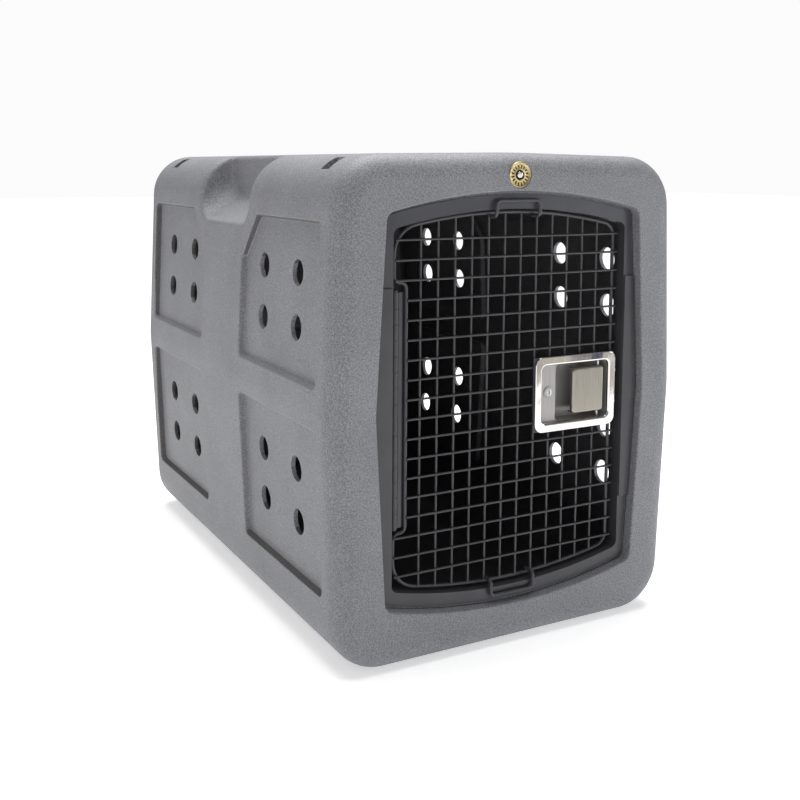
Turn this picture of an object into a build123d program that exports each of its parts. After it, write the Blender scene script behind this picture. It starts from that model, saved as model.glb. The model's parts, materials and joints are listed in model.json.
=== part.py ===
from build123d import *
import math
import os

# Rotomoulded pet kennel with a framed wire door and a recessed paddle latch.
# Millimetres. +Z is up, -Y is the door end, +X is the latch side of the door.
# The origin is at the middle of the base.

# Shell
LENGTH = 813.0
MID_WIDTH = 548.0
MID_HEIGHT = 330.0
EDGE_HEIGHT = 651.5
CROWN_RISE = 4.5
DRAFT = math.radians(2.5)
WALL = 6.0
CORNER_RADIUS = 70.0
NOSE_RADIUS = 30.0
PARTING_RADIUS = 120.0
RIDGE_RADIUS = 2000.0

# Recessed panels and vents
PANEL_DEPTH = 9.0
PANEL_TAPER = 14.0
PANEL_CORNER = 7.0
PANEL_SOFT_EDGE = 2.5
PANEL_LIP = 3.0
PANEL_REACH = 357.0
PILLAR_HALF = 88.0
UPPER_PANEL = (364.5, 567.0)
LOWER_PANEL = (96.5, 307.0)
SLANT_START = (PILLAR_HALF, 506.0)
SLANT_END = (142.0, 567.0)
REAR_PANEL_HALF = 186.0
REAR_LOWER_PANEL = (112.0, 307.0)
VENT_DIAMETER = 35.0
VENT_REACH = (157.0, 274.0)
VENT_HEIGHTS = (499.4, 427.7, 240.0, 167.4)
REAR_VENT_REACH = (60.0, 126.0)
REAR_CUT_DEPTH = 30.0
REAR_RIM_HEIGHTS = (100.0, 600.0)

# Hand scoops and strap notches in the top side edges
SCOOP_HALF = 108.0
SCOOP_INNER = 205.0
SCOOP_BASE = 586.0
SCOOP_OUTER = 300.0
SCOOP_SLOPE = math.radians(30)
SCOOP_CORNER = 34.0
SCOOP_FLOOR_RADIUS = 14.0
SCOOP_LIP = 8.0
NOTCH_WIDTH = 24.0
NOTCH_INNER = 221.0
NOTCH_BASE = 633.0
NOTCH_REACH = 60.0
NOTCH_LEAN = 14.0
NOTCH_ROUND = 4.0
NOTCH_PLACES = (-322.0, 315.0)

# Door frame
FRAME_FRONT = -394.0
FRAME_THICK = 3.0
FRAME_CORNER = (192.3, 576.9)
FRAME_LOW_CORNER = (192.3, 84.1)
FRAME_KINK = 206.5
FRAME_TOP = 602.0
FRAME_BOTTOM = 59.7
FRAME_ROUND = 9.0
INNER_HALF = 182.0
INNER_TOP = 583.0
INNER_TOP_SIDE = 560.3
INNER_BOTTOM = 76.7
INNER_BOTTOM_SIDE = 99.4
INNER_ROUND = 10.0
RETURN_THICK = 2.5
RETURN_DEPTH = 20.0
RECESS_RIM_HEIGHTS = (50.0, 608.0)
RECESS_GAP = 3.2
RECESS_TAPER = 5.0
RECESS_LIP = 2.2
CUT_CLEAR = 6.0
DOORWAY_GAP = 0.7
PLATE_THICK = 2.5
PLATE_ENDS = (183.0, 488.0)
PLATE_END_REACH = 199.6
PLATE_KINK_REACH = 207.8

# Door mesh, in pitches of one inch
PITCH = 25.4
ROW_COUNT = 18
ROW_TOP = 546.1
ROW_RADIUS = 1.5
COLUMN_COUNT = 12
COLUMN_FIRST = -136.9
COLUMN_STEP = 25.35
COLUMN_RADIUS = 1.6
ROD_RADIUS = 2.5
ROW_Y = -385.1
WELD_BITE = 0.2
COLUMN_Y = ROW_Y + ROW_RADIUS + COLUMN_RADIUS - WELD_BITE
ROD_Y = ROW_Y + ROW_RADIUS + ROD_RADIUS - WELD_BITE
ROD_RIGHT = 171.2
ROD_LEFT = -174.5
ROD_JOG = -157.0
JOG_TOP = 492.8
JOG_BOTTOM = 170.0
JOG_ROUND = 8.5
ROD_TOP = 578.8
ROD_TOP_SIDE = 558.0
ROD_BOTTOM = 83.3
ROD_BOTTOM_SIDE = 102.5
ROD_ROUND = 20.0
ROD_HINGE_ROUND = 38.0
ROW_OVERHANG = 5.3
ROW_LATCH_END = 42.0
COLUMN_TUCK = 2.0
STOP_HALF = 34.0
STOP_Y = -398.2
STOP_BEND = 6.0
STOP_TOP_LEG_Z = 573.4
STOP_TOP_BAR_Z = 594.0
STOP_BOTTOM_LEG_Z = 88.7
STOP_BOTTOM_BAR_Z = 67.5

# Hinge
HINGE_X = -173.0
HINGE_Y = ROD_Y
HINGE_BOTTOM = 178.0
KNUCKLE_COUNT = 15
KNUCKLE_PITCH = 20.2
KNUCKLE_GAP = 0.4
BARREL_RADIUS = 4.5
PIN_RADIUS = 2.0
PIN_CLEARANCE = 0.06
LEAF_THICK = 2.0
LEAF_CLEARANCE = 0.5
LEAF_RIB = 5.0
FRAME_LEAF_X = -180.5
FRAME_LEAF_FRONT = -391.0
HINGE_RIVET_Y = -381.0
HINGE_RIVET_HEIGHTS = [HINGE_BOTTOM + (index + 0.5) * KNUCKLE_PITCH for index in (1, 5, 9, 13)]
RIVET_RADIUS = 1.6

# Latch
PAN_LEFT = 38.0
PAN_RIGHT = 174.5
PAN_BOTTOM = 278.0
PAN_TOP = 382.0
PAN_SHEET = 1.5
PAN_ROUND = 12.0
PAN_BRIM = 2.6
MOUNT_THICK = 2.0
GASKET_THICK = 1.0
POCKET_LEFT = 49.0
POCKET_RIGHT = 163.0
POCKET_BOTTOM = 290.0
POCKET_TOP = 370.0
POCKET_ROUND = 9.0
POCKET_DEPTH = 29.0
LOCK_STEP_X = 76.5
LOCK_STEP_DEPTH = 8.0
LATCH_Z = 330.0
PADDLE_LEFT = 103.0
PADDLE_RIGHT = 157.0
PADDLE_HALF = 32.0
PADDLE_DEPTH = 13.0
PADDLE_SHEET = 2.0
PADDLE_CURL = 5.5
PADDLE_SET_BACK = 3.0
PADDLE_PIN_X = 152.0
PADDLE_PIN_RADIUS = 2.0
FINGER_HALF = 4.0
FINGER_END_Y = -353.5
BOLT_TIP = 180.4
BOLT_LEFT = 112.0
BOLT_HALF = 9.0
BOLT_DEPTH = 13.0
HOUSING_SHEET = 1.5
HOUSING_LEFT = 94.0
HOUSING_RIGHT = 166.0
HOUSING_HALF = 24.0
RIVET_X = 84.0
RIVET_SPREAD = 17.0
LOCK_X = 65.0
LOCK_Z = 331.5
LOCK_BARREL_RADIUS = 6.5
LOCK_PLUG_RADIUS = 4.8
LOCK_COLLAR_RADIUS = 8.0
LOCK_NUT_RADIUS = 8.6
LOCK_COLLAR_DEPTH = 1.5
LOCK_BARREL_BACK = -361.0
LOCK_CAM_Y = -358.0
CAM_SCREW_RADIUS = 1.9
FINGER_SLOT = (136.5, 156.0)
RIVET_PLACES = [(x, LATCH_Z + side * RIVET_SPREAD) for x in (RIVET_X, 128.0) for side in (-1, 1)]
LATCH_STUD_RADIUS = 2.0
LATCH_STUDS = [(x, z) for x in (56.0, 154.0) for z in (283.2, 376.8)]
STRIKE_SPAN = (-384.5, -338.0)
STRIKE_HALF = 30.0
STRIKE_RIVET_Y = -379.5
STRIKE_RIVET_SPREAD = 22.0
SPRING_WIRE = 0.6
SPRING_COIL_RADIUS = 2.5
SPRING_LENGTH = 14.0

# Small parts
MEDALLION_RADIUS = 17.0
MEDALLION_X = -4.0
MEDALLION_Z = 627.0
MEDALLION_THICK = 3.0
BADGE_GAP = 0.6
BUTTON_RADIUS = 4.2
BUTTON_SHANK = 1.5
STUD_RADIUS = 3.0
STUD_LENGTH = 14.0
RIGHT_STUDS = [(110.0, 586.3), (191.9, 470.0), (194.2, 400.0), (194.2, 262.0), (192.0, 192.0), (110.0, 75.0)]
STUD_PLACES = [(side * x, z) for side in (-1, 1) for x, z in RIGHT_STUDS]
DRAIN_Z = 64.0
DRAIN_POCKET_RADIUS = 30.0
DRAIN_POCKET_DEPTH = 9.0
DRAIN_HOLE_RADIUS = 14.0
DRAIN_BORE = 11.0

# Planes that follow from the sizes above
FACE_Y = -LENGTH / 2
RECESS_FLOOR_Y = FRAME_FRONT + FRAME_THICK
MOUNT_FRONT_Y = ROW_Y - ROW_RADIUS - MOUNT_THICK
FLANGE_BACK_Y = MOUNT_FRONT_Y - GASKET_THICK
FLANGE_FRONT_Y = FLANGE_BACK_Y - PAN_SHEET
POCKET_FLOOR_Y = FLANGE_FRONT_Y + POCKET_DEPTH
LOCK_STEP_Y = FLANGE_FRONT_Y + LOCK_STEP_DEPTH
PADDLE_FRONT_Y = FLANGE_FRONT_Y + PADDLE_SET_BACK
PADDLE_PIN_Y = PADDLE_FRONT_Y + PADDLE_DEPTH - 4.5
HOUSING_FRONT_Y = POCKET_FLOOR_Y + PAN_SHEET
DRAIN_SEAT_Y = LENGTH / 2 - DRAIN_POCKET_DEPTH


def front_plane(y):
    """Plane that faces the door end at the given y, with x to the right and z up."""
    return Plane(origin=(0, y, 0), x_dir=(1, 0, 0), z_dir=(0, -1, 0))


def save(name, part):
    """Label a finished piece and write it to its own file."""
    part.label = name
    export_step(part, f"parts/{name}.step")


def level_with(corners, axis, place):
    """The vertices at one place along an axis."""
    return corners.filter_by_position(axis, place - 0.5, place + 0.5)


# ---------------------------------------------------------------- shell


def shell_form(inset):
    """Drafted box with rounded edges, the given distance inside the shell's outer face."""
    half_mid = MID_WIDTH / 2 - inset
    half_bottom = half_mid - MID_HEIGHT * math.tan(DRAFT)
    half_top = half_mid - (EDGE_HEIGHT - MID_HEIGHT) * math.tan(DRAFT)
    top = EDGE_HEIGHT - inset
    with BuildPart() as form:
        with BuildSketch(Plane.XZ) as section:
            with BuildLine():
                Polyline(
                    (-half_bottom, inset), (half_bottom, inset), (half_mid, MID_HEIGHT), (half_top, top),
                    (0, top + CROWN_RISE), (-half_top, top), (-half_mid, MID_HEIGHT), close=True,
                )
            make_face()
            fillet(level_with(section.vertices(), Axis.Y, inset), CORNER_RADIUS - inset)
            fillet(level_with(section.vertices(), Axis.Y, MID_HEIGHT), PARTING_RADIUS)
            fillet(level_with(section.vertices(), Axis.Y, top), CORNER_RADIUS - inset)
            fillet(level_with(section.vertices(), Axis.X, 0), RIDGE_RADIUS)
        extrude(amount=LENGTH / 2 - inset, both=True)
        end_faces = form.faces().filter_by(Axis.Y)
        fillet(end_faces.edges(), NOSE_RADIUS - inset)
    return form.part


def side_plane(side, level):
    """Plane of the upper (level 1) or lower (level -1) half of a side wall, facing out."""
    return Plane(
        origin=(side * MID_WIDTH / 2, 0, MID_HEIGHT),
        x_dir=(0, side, 0),
        z_dir=(side * math.cos(DRAFT), 0, level * math.sin(DRAFT)),
    )


def panel_pocket(plane, points, grow):
    """Tapered pocket below a wall plane, its outline given in that plane at the floor."""
    with BuildPart() as pocket:
        with BuildSketch(plane.offset(-PANEL_DEPTH - grow)) as outline:
            with BuildLine():
                Polyline(*points, close=True)
            make_face()
            fillet(outline.vertices(), PANEL_CORNER)
            if grow:
                offset(amount=grow)
        extrude(amount=PANEL_DEPTH + grow + CUT_CLEAR, taper=-PANEL_TAPER)
        floor = pocket.faces().sort_by(lambda face: plane.to_local_coords(face.center()).Z)[0]
        fillet(floor.edges(), PANEL_SOFT_EDGE)
    return pocket.part


def side_pockets(grow):
    """The pockets of the eight side panels."""
    pockets = []
    for side in (-1, 1):
        for end in (-1, 1):
            upper = [
                (end * SLANT_START[0], UPPER_PANEL[0] - MID_HEIGHT),
                (end * PANEL_REACH, UPPER_PANEL[0] - MID_HEIGHT),
                (end * PANEL_REACH, UPPER_PANEL[1] - MID_HEIGHT),
                (end * SLANT_END[0], UPPER_PANEL[1] - MID_HEIGHT),
                (end * SLANT_START[0], SLANT_START[1] - MID_HEIGHT),
            ]
            lower = [
                (end * PILLAR_HALF, LOWER_PANEL[0] - MID_HEIGHT),
                (end * PANEL_REACH, LOWER_PANEL[0] - MID_HEIGHT),
                (end * PANEL_REACH, LOWER_PANEL[1] - MID_HEIGHT),
                (end * PILLAR_HALF, LOWER_PANEL[1] - MID_HEIGHT),
            ]
            pockets.append(panel_pocket(side_plane(side, 1), upper, grow))
            pockets.append(panel_pocket(side_plane(side, -1), lower, grow))
    return pockets


def rear_pockets(grow):
    """The upper and lower panel pockets of the rear wall."""
    plane = Plane(origin=(0, LENGTH / 2, 0), x_dir=(-1, 0, 0), z_dir=(0, 1, 0))
    pockets = []
    half = REAR_PANEL_HALF
    for low, high in (UPPER_PANEL, REAR_LOWER_PANEL):
        corners = [(-half, low), (half, low), (half, high), (-half, high)]
        pockets.append(panel_pocket(plane, corners, grow))
    return pockets


def scoop(side, grow):
    """Hand scoop cut down through a top side edge at mid-length, its floor sloping outwards."""
    inner = SCOOP_INNER - grow
    base = SCOOP_BASE - grow / math.cos(SCOOP_SLOPE)
    outer_base = base - (SCOOP_OUTER - inner) * math.tan(SCOOP_SLOPE)
    top = EDGE_HEIGHT + CORNER_RADIUS
    with BuildPart() as cut:
        with BuildSketch(Plane.XZ):
            with BuildLine():
                Polyline(
                    (side * inner, top), (side * inner, base),
                    (side * SCOOP_OUTER, outer_base), (side * SCOOP_OUTER, top), close=True,
                )
            make_face()
        extrude(amount=SCOOP_HALF + grow, both=True)
        sloped = [edge for edge in cut.edges() if abs((edge @ 0).Z - (edge @ 1).Z) > 10]
        floor_ends = [edge for edge in sloped if abs((edge @ 0).X - (edge @ 1).X) > 10]
        fillet(floor_ends, SCOOP_CORNER + grow)
        back = cut.faces().sort_by(Axis((0, 0, 0), (side, 0, 0)))[0]
        fillet([edge for edge in back.edges() if edge.center().Z < top - 1], SCOOP_FLOOR_RADIUS + grow)
    return cut.part


def strap_notch(side, place, grow):
    """Slot across a top side edge for a tie-down strap, its inner wall leaning inwards."""
    inner = side * (NOTCH_INNER - grow)
    outer = side * (NOTCH_INNER + NOTCH_REACH)
    base = NOTCH_BASE - grow
    with BuildPart() as cut:
        with BuildSketch(Plane.XZ.offset(-place)) as outline:
            with BuildLine():
                Polyline(
                    (inner, base), (outer, base), (outer, base + NOTCH_REACH),
                    (inner - side * NOTCH_LEAN, base + NOTCH_REACH), close=True,
                )
            make_face()
            fillet(level_with(outline.vertices(), Axis.X, inner), NOTCH_ROUND)
        extrude(amount=NOTCH_WIDTH / 2 + grow, both=True)
    return cut.part


def frame_outline(grow):
    """Face of the door frame's outer outline, grown outwards."""
    with BuildSketch(Plane.XY) as outline:
        with BuildLine():
            x, z = FRAME_CORNER
            low_z = FRAME_LOW_CORNER[1]
            ThreePointArc((-x, z), (0, FRAME_TOP), (x, z))
            Polyline((x, z), (FRAME_KINK, MID_HEIGHT), (x, low_z))
            ThreePointArc((x, low_z), (0, FRAME_BOTTOM), (-x, low_z))
            Polyline((-x, low_z), (-FRAME_KINK, MID_HEIGHT), (-x, z))
        make_face()
        kinks = level_with(outline.vertices(), Axis.Y, MID_HEIGHT)
        fillet([corner for corner in outline.vertices() if corner not in kinks], FRAME_ROUND)
        if grow:
            offset(amount=grow)
    return outline.sketch


def inner_outline(grow):
    """Face of the doorway outline inside the frame, grown outwards."""
    with BuildSketch(Plane.XY) as outline:
        with BuildLine():
            half = INNER_HALF
            ThreePointArc((-half, INNER_TOP_SIDE), (0, INNER_TOP), (half, INNER_TOP_SIDE))
            Line((half, INNER_TOP_SIDE), (half, INNER_BOTTOM_SIDE))
            ThreePointArc((half, INNER_BOTTOM_SIDE), (0, INNER_BOTTOM), (-half, INNER_BOTTOM_SIDE))
            Line((-half, INNER_BOTTOM_SIDE), (-half, INNER_TOP_SIDE))
        make_face()
        fillet(outline.vertices(), INNER_ROUND)
        if grow:
            offset(amount=grow)
    return outline.sketch


def door_recess(grow):
    """Recess of the front wall that the door frame sits in."""
    with BuildPart() as cut:
        with BuildSketch(front_plane(RECESS_FLOOR_Y + grow)):
            add(frame_outline(RECESS_GAP + grow))
        extrude(amount=RECESS_FLOOR_Y + grow - FACE_Y + CUT_CLEAR, taper=-RECESS_TAPER)
    return cut.part


def round_pocket(place, radius, depth, outward):
    """Round seat of the given depth in the front (outward -1) or rear (outward 1) wall."""
    x, y, z = place
    with BuildPart() as cut:
        with BuildSketch(Plane(origin=(x, y - outward * depth, z), x_dir=(1, 0, 0), z_dir=(0, outward, 0))):
            Circle(radius)
        extrude(amount=depth + CUT_CLEAR)
    return cut.part


def scoops(grow):
    """Hand scoops of both sides, grown by the given amount."""
    return [scoop(side, grow) for side in (-1, 1)]


def hollows(grow):
    """Everything but the scoops cut into the shell from outside, grown by the wall for the inner face."""
    cuts = side_pockets(grow) + rear_pockets(grow)
    for side in (-1, 1):
        for place in NOTCH_PLACES:
            cuts.append(strap_notch(side, place, grow))
    cuts.append(door_recess(grow))
    drain = (0, LENGTH / 2, DRAIN_Z)
    cuts.append(round_pocket(drain, DRAIN_POCKET_RADIUS + grow, DRAIN_POCKET_DEPTH + grow, 1))
    badge = (MEDALLION_X, FACE_Y, MEDALLION_Z)
    cuts.append(round_pocket(badge, MEDALLION_RADIUS + BADGE_GAP + grow, MEDALLION_THICK + grow, -1))
    return cuts


def side_panel_rims(body):
    """Outer edges of the recessed side panels."""
    rims = []
    for side in (-1, 1):
        for level in (-1, 1):
            plane = side_plane(side, level)
            for edge in body.edges():
                ends = [plane.to_local_coords(vertex.center()) for vertex in edge.vertices()]
                middle = plane.to_local_coords(edge.position_at(0.5))
                on_wall = all(abs(point.Z) < 0.02 for point in [*ends, middle])
                off_parting_line = 20 < level * middle.Y < 250
                beside_pillar = PILLAR_HALF - 12 < abs(middle.X) < PANEL_REACH + 8
                if on_wall and off_parting_line and beside_pillar:
                    rims.append(edge)
    return rims


def end_wall_rims(body, y, low, high):
    """Edges that lie in an end wall's outer face between two heights, inside its rounded border."""
    reach = REAR_PANEL_HALF + 2 * PANEL_DEPTH + CUT_CLEAR
    flat = body.edges().filter_by_position(Axis.Y, y - 0.02, y + 0.02)
    return [edge for edge in flat if low < edge.center().Z < high and abs(edge.center().X) < reach]


def scoop_rims(body, side):
    """Edges where a hand scoop meets the shell's outer surface."""
    outer_faces = [face for face in shell_form(0).faces() if side * face.center().X > SCOOP_INNER - 30]
    near = [
        edge for edge in body.edges()
        if side * edge.center().X > SCOOP_INNER - 6
        and abs(edge.center().Y) < SCOOP_HALF + 6
        and edge.center().Z > SLANT_START[1] + 20
    ]
    return [
        edge for edge in near
        if all(min(face.distance_to(edge.position_at(at)) for face in outer_faces) < 0.05 for at in (0.1, 0.5, 0.9))
    ]


def make_kennel_body():
    """One-piece hollow shell with its panels, vents, scoops, notches and doorway."""
    cavity = shell_form(WALL)
    for cut in scoops(WALL) + hollows(WALL):
        cavity = cavity - cut
    side_vents = [(end * reach, z) for end in (-1, 1) for reach in VENT_REACH for z in VENT_HEIGHTS]
    upper = VENT_HEIGHTS[:2]
    rear_vents = [(side * reach, z) for side in (-1, 1) for reach in REAR_VENT_REACH for z in upper]
    seat_back = FACE_Y + MEDALLION_THICK + WALL + 1
    with BuildPart() as kennel_body:
        add(shell_form(0))
        add(scoops(0), mode=Mode.SUBTRACT)
        for side in (-1, 1):
            fillet(scoop_rims(kennel_body.part, side), SCOOP_LIP)
        for cut in hollows(0):
            add(cut, mode=Mode.SUBTRACT)
        fillet(side_panel_rims(kennel_body.part), PANEL_LIP)
        fillet(end_wall_rims(kennel_body.part, LENGTH / 2, *REAR_RIM_HEIGHTS), PANEL_LIP)
        fillet(end_wall_rims(kennel_body.part, FACE_Y, *RECESS_RIM_HEIGHTS), RECESS_LIP)
        add(cavity, mode=Mode.SUBTRACT)
        with BuildSketch(front_plane(RECESS_FLOOR_Y + WALL + 4)):
            add(inner_outline(RETURN_THICK + DOORWAY_GAP))
        extrude(amount=WALL + 8, mode=Mode.SUBTRACT)
        with BuildSketch(Plane.YZ):
            with Locations(side_vents):
                Circle(VENT_DIAMETER / 2)
        extrude(amount=MID_WIDTH, both=True, mode=Mode.SUBTRACT)
        with BuildSketch(Plane.XZ.offset(-LENGTH / 2 + REAR_CUT_DEPTH)):
            with Locations(rear_vents):
                Circle(VENT_DIAMETER / 2)
            with Locations((0, DRAIN_Z)):
                Circle(DRAIN_HOLE_RADIUS)
        extrude(amount=-2 * REAR_CUT_DEPTH, mode=Mode.SUBTRACT)
        stud_holes = rods(STUD_PLACES, STUD_RADIUS + 0.4, RECESS_FLOOR_Y - 1, RECESS_FLOOR_Y + WALL + 1)
        add(stud_holes, mode=Mode.SUBTRACT)
        add(rods([(MEDALLION_X, MEDALLION_Z)], BUTTON_SHANK + 0.1, FACE_Y, seat_back), mode=Mode.SUBTRACT)
    return kennel_body.part


# ---------------------------------------------------------------- door frame


def make_door_frame():
    """Steel ring with a flat flange and a return that lines the doorway."""
    with BuildPart() as door_frame:
        with BuildSketch(front_plane(RECESS_FLOOR_Y)):
            add(frame_outline(0))
            add(inner_outline(0), mode=Mode.SUBTRACT)
        extrude(amount=FRAME_THICK)
        with BuildSketch(front_plane(FRAME_FRONT + RETURN_DEPTH)):
            add(inner_outline(RETURN_THICK))
            add(inner_outline(0), mode=Mode.SUBTRACT)
        extrude(amount=RETURN_DEPTH)
        with BuildSketch(Plane.YZ):
            with Locations([(HINGE_RIVET_Y, z) for z in HINGE_RIVET_HEIGHTS]):
                Circle(RIVET_RADIUS)
        extrude(amount=-MID_WIDTH / 2, mode=Mode.SUBTRACT)
        with BuildSketch(Plane.YZ):
            with Locations([(STRIKE_RIVET_Y, LATCH_Z + side * STRIKE_RIVET_SPREAD) for side in (-1, 1)]):
                Circle(RIVET_RADIUS)
        extrude(amount=MID_WIDTH / 2, mode=Mode.SUBTRACT)
    return door_frame.part


def make_stile_plate(side):
    """Reinforcing plate on the middle of one upright of the frame."""
    inner, top = PLATE_ENDS
    bottom = 2 * MID_HEIGHT - top
    with BuildPart() as plate:
        with BuildSketch(front_plane(FRAME_FRONT)) as outline:
            with BuildLine():
                Polyline(
                    (side * inner, bottom),
                    (side * PLATE_END_REACH, bottom),
                    (side * PLATE_KINK_REACH, MID_HEIGHT),
                    (side * PLATE_END_REACH, top),
                    (side * inner, top),
                    close=True,
                )
            make_face()
            fillet(outline.vertices().group_by(Axis.Y)[0], 2)
            fillet(outline.vertices().group_by(Axis.Y)[-1], 2)
        extrude(amount=PLATE_THICK)
        fillet(plate.faces().sort_by(Axis.Y)[0].edges(), 1)
    return plate.part


def disc_row(plane, radius, places, depth, sides=0):
    """Equal round or six-sided pieces standing on a plane, one separate solid at each place."""
    with BuildPart() as pieces:
        with BuildSketch(plane):
            with Locations(places):
                if sides:
                    RegularPolygon(radius, sides)
                else:
                    Circle(radius)
        extrude(amount=depth)
    return pieces.part


def ring_row(plane, outer, inner, places, depth, sides=0):
    """Washers or nuts standing on a plane, one separate solid at each place."""
    with BuildPart() as pieces:
        with BuildSketch(plane):
            with Locations(places):
                if sides:
                    RegularPolygon(outer, sides)
                else:
                    Circle(outer)
            with Locations(places):
                Circle(inner, mode=Mode.SUBTRACT)
        extrude(amount=depth)
    return pieces.part


def rivet_row(plane, shank, shank_length, head, head_height, places):
    """Rivets whose heads stand on a plane and whose shanks go back through it to a second head."""
    with BuildPart() as rivets:
        with BuildSketch(plane.offset(-shank_length)):
            with Locations(places):
                Circle(shank)
        extrude(amount=shank_length)
        for level in (0, -shank_length - head_height):
            with BuildSketch(plane.offset(level)):
                with Locations(places):
                    Circle(head)
            extrude(amount=head_height)
        circles = rivets.edges().filter_by(GeomType.CIRCLE)
        rims = circles.filter_by(lambda edge: abs(edge.radius - head) < 0.01)
        tops = rims.filter_by(lambda edge: abs(plane.to_local_coords(edge.arc_center).Z - head_height) < 0.01)
        fillet(tops, head_height * 0.8)
    return rivets.part


# ---------------------------------------------------------------- door


def arc_height(x, half, middle, side_height):
    """Height at x of the arc that rises from side_height at x = half to its middle."""
    rise = middle - side_height
    radius = (half * half + rise * rise) / (2 * rise)
    return middle - radius + math.copysign(math.sqrt(radius * radius - x * x), radius)


def rod_path():
    """Centre line of the rod round the door, jogged inwards to pass beside the hinge."""
    with BuildSketch(Plane.XY) as outline:
        middle = (ROD_LEFT + ROD_RIGHT) / 2
        with BuildLine():
            ThreePointArc((ROD_LEFT, ROD_TOP_SIDE), (middle, ROD_TOP), (ROD_RIGHT, ROD_TOP_SIDE))
            Line((ROD_RIGHT, ROD_TOP_SIDE), (ROD_RIGHT, ROD_BOTTOM_SIDE))
            ThreePointArc((ROD_RIGHT, ROD_BOTTOM_SIDE), (middle, ROD_BOTTOM), (ROD_LEFT, ROD_BOTTOM_SIDE))
            Polyline(
                (ROD_LEFT, ROD_BOTTOM_SIDE), (ROD_LEFT, JOG_BOTTOM), (ROD_JOG, JOG_BOTTOM),
                (ROD_JOG, JOG_TOP), (ROD_LEFT, JOG_TOP), (ROD_LEFT, ROD_TOP_SIDE),
            )
        make_face()
        for side, radius in ((ROD_LEFT, ROD_HINGE_ROUND), (ROD_RIGHT, ROD_ROUND)):
            beside = level_with(outline.vertices(), Axis.X, side)
            fillet([v for v in beside if not JOG_BOTTOM - 1 < v.Y < JOG_TOP + 1], radius)
        for jog in (JOG_TOP, JOG_BOTTOM):
            fillet(level_with(outline.vertices(), Axis.Y, jog), JOG_ROUND)
    return (front_plane(ROD_Y) * outline.sketch).wires()[0]


def make_door_rod():
    """Rod bent and closed round the edge of the door."""
    path = rod_path()
    with BuildPart() as door_rod:
        with BuildSketch(Plane(origin=path @ 0, z_dir=path % 0)):
            Circle(ROD_RADIUS)
        sweep(path=path)
    return door_rod.part


def make_mesh_rows():
    """Horizontal wires, which lie in front of the rod and stop short of the latch."""
    with BuildPart() as mesh_rows:
        for index in range(ROW_COUNT):
            z = ROW_TOP - index * PITCH
            beside_hinge = JOG_BOTTOM < z < JOG_TOP - ROD_RADIUS - 1
            behind_latch = PAN_BOTTOM < z < PAN_TOP
            left = ROD_JOG if beside_hinge else ROD_LEFT
            right = ROW_LATCH_END if behind_latch else ROD_RIGHT + ROW_OVERHANG
            with BuildSketch(Plane.YZ.offset(left)):
                with Locations((ROW_Y, z)):
                    Circle(ROW_RADIUS)
            extrude(amount=right - left)
    return mesh_rows.part


def make_mesh_columns():
    """Upright wires behind the rows, those behind the latch cut away."""
    half = (ROD_RIGHT - ROD_LEFT) / 2
    middle = (ROD_RIGHT + ROD_LEFT) / 2
    with BuildPart() as mesh_columns:
        for index in range(COLUMN_COUNT):
            x = COLUMN_FIRST + index * COLUMN_STEP
            top = arc_height(x - middle, half, ROD_TOP, ROD_TOP_SIDE)
            bottom = arc_height(x - middle, half, ROD_BOTTOM, ROD_BOTTOM_SIDE)
            spans = [(bottom, top)]
            if x > ROW_LATCH_END:
                spans = [(bottom, PAN_BOTTOM + COLUMN_TUCK), (PAN_TOP - COLUMN_TUCK, top)]
            for low, high in spans:
                with BuildSketch(Plane.XY.offset(low)):
                    with Locations((x, COLUMN_Y)):
                        Circle(COLUMN_RADIUS)
                extrude(amount=high - low)
    return mesh_columns.part


def make_stop_loop(leg_z, bar_z):
    """Bent rod welded to the door, whose bar stands in front of the frame's flange."""
    start = (-STOP_HALF, ROD_Y + 1, leg_z)
    path = FilletPolyline(
        start, (-STOP_HALF, STOP_Y, leg_z), (-STOP_HALF, STOP_Y, bar_z),
        (STOP_HALF, STOP_Y, bar_z), (STOP_HALF, STOP_Y, leg_z), (STOP_HALF, ROD_Y + 1, leg_z),
        radius=STOP_BEND,
    )
    with BuildPart() as stop_loop:
        with BuildSketch(Plane(origin=start, z_dir=(0, -1, 0))):
            Circle(ROD_RADIUS)
        sweep(path=path)
    return stop_loop.part


# ---------------------------------------------------------------- hinge


def knuckle_spans(parity):
    """Lowest and highest z of every second knuckle, starting with knuckle 0 or 1."""
    starts = [HINGE_BOTTOM + index * KNUCKLE_PITCH for index in range(parity, KNUCKLE_COUNT, 2)]
    return [(start, start + KNUCKLE_PITCH - KNUCKLE_GAP) for start in starts]


def slab(x_span, y_span, z_span):
    """Box between three pairs of limits."""
    with BuildPart() as box:
        with BuildSketch(Plane.XY.offset(z_span[0])):
            with Locations(((x_span[0] + x_span[1]) / 2, (y_span[0] + y_span[1]) / 2)):
                Rectangle(x_span[1] - x_span[0], y_span[1] - y_span[0])
        extrude(amount=z_span[1] - z_span[0])
    return box.part


def upright(x, y, z_span, radius):
    """Round upright length about the axis through x and y."""
    with BuildPart() as length:
        with BuildSketch(Plane.XY.offset(z_span[0])):
            with Locations((x, y)):
                Circle(radius)
        extrude(amount=z_span[1] - z_span[0])
    return length.part


def barrel(z_span, radius):
    """Round length on the hinge axis."""
    return upright(HINGE_X, HINGE_Y, z_span, radius)


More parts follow.
